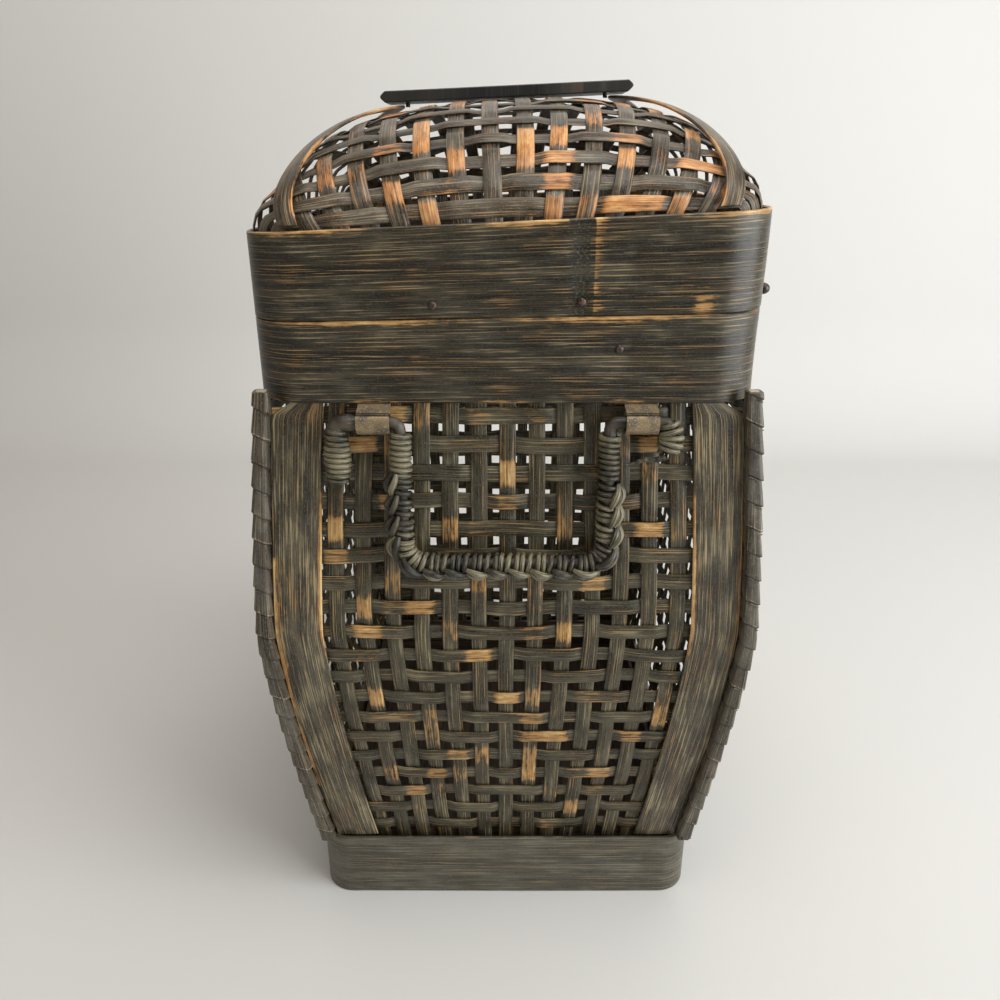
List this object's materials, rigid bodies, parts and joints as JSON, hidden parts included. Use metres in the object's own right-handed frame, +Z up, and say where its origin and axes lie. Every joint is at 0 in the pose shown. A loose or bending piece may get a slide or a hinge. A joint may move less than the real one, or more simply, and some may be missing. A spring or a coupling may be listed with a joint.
{
  "type": "wooden basket",
  "caption": "Tall lidded basket of dark woven split bamboo with bellied sides, flat bands, a domed lift-off lid with a grip board and a cord-wrapped drop handle on each end.",
  "frame": {"origin": "on the ground under the middle of the basket", "axes": "+Z up; -Y out of the near end, which faces the camera; +X to the right"},
  "size_m": [0.2442, 0.3008, 0.4409],
  "materials": {
    "base_bamboo": "dull dark stain",
    "band_bamboo": "worn dark lacquer",
    "weave_bamboo": "worn dark lacquer",
    "strap_bamboo": "worn dark lacquer",
    "edge_bamboo": "worn dark lacquer",
    "board_wood": "dark stain",
    "cord": "grey-green twisted cord",
    "bracket_metal": "aged, dull",
    "nail_metal": "dark, worn"
  },
  "bodies": {
    "basket": {"base_band": "base_bamboo", "base_hoop": "band_bamboo", "bottom_panel": "band_bamboo", "near_stakes": "weave_bamboo", "near_weavers": "weave_bamboo", "near_strap_a": "strap_bamboo", "near_strap_b": "strap_bamboo", "far_stakes": "weave_bamboo", "far_weavers": "weave_bamboo", "far_strap_a": "strap_bamboo", "far_strap_b": "strap_bamboo", "left_stakes": "weave_bamboo", "left_weavers": "weave_bamboo", "left_strap_a": "strap_bamboo", "left_strap_b": "strap_bamboo", "right_stakes": "weave_bamboo", "right_weavers": "weave_bamboo", "right_strap_a": "strap_bamboo", "right_strap_b": "strap_bamboo", "near_left_corner_rod": "edge_bamboo", "near_left_corner_binding": "edge_bamboo", "near_right_corner_rod": "edge_bamboo", "near_right_corner_binding": "edge_bamboo", "far_left_corner_rod": "edge_bamboo", "far_left_corner_binding": "edge_bamboo", "far_right_corner_rod": "edge_bamboo", "far_right_corner_binding": "edge_bamboo", "rim_band": "band_bamboo", "rim_collar": "band_bamboo", "rim_tack": "nail_metal", "near_left_bracket": "bracket_metal", "near_right_bracket": "bracket_metal", "far_left_bracket": "bracket_metal", "far_right_bracket": "bracket_metal"},
    "lid": {"lid_band": "band_bamboo", "lid_hoop": "band_bamboo", "lid_long_strips": "weave_bamboo", "lid_cross_strips": "weave_bamboo", "lid_tack_left": "nail_metal", "lid_tack_right": "nail_metal", "lid_side_tack": "nail_metal", "lid_bow_left": "strap_bamboo", "lid_bow_right": "strap_bamboo", "grip_board": "board_wood", "grip_pin_left": "nail_metal", "grip_pin_right": "nail_metal"},
    "near_handle": {"near_bail_core": "cord", "near_bail_winding": "cord", "near_left_end_wrap": "cord", "near_right_end_wrap": "cord"},
    "far_handle": {"far_bail_core": "cord", "far_bail_winding": "cord", "far_left_end_wrap": "cord", "far_right_end_wrap": "cord"}
  },
  "joints": [
    {"name": "lid_lift", "type": "slide", "parent": "basket", "child": "lid", "axis": [0, 0, 1], "range_m": [0, 0.06]},
    {"name": "near_handle_swing", "type": "hinge", "parent": "basket", "child": "near_handle", "pos_m": [0, -0.1391, 0.293], "axis": [-1, 0, 0], "range_deg": [0, 150]},
    {"name": "far_handle_swing", "type": "hinge", "parent": "basket", "child": "far_handle", "pos_m": [0, 0.1391, 0.293], "axis": [1, 0, 0], "range_deg": [0, 150]}
  ]
}
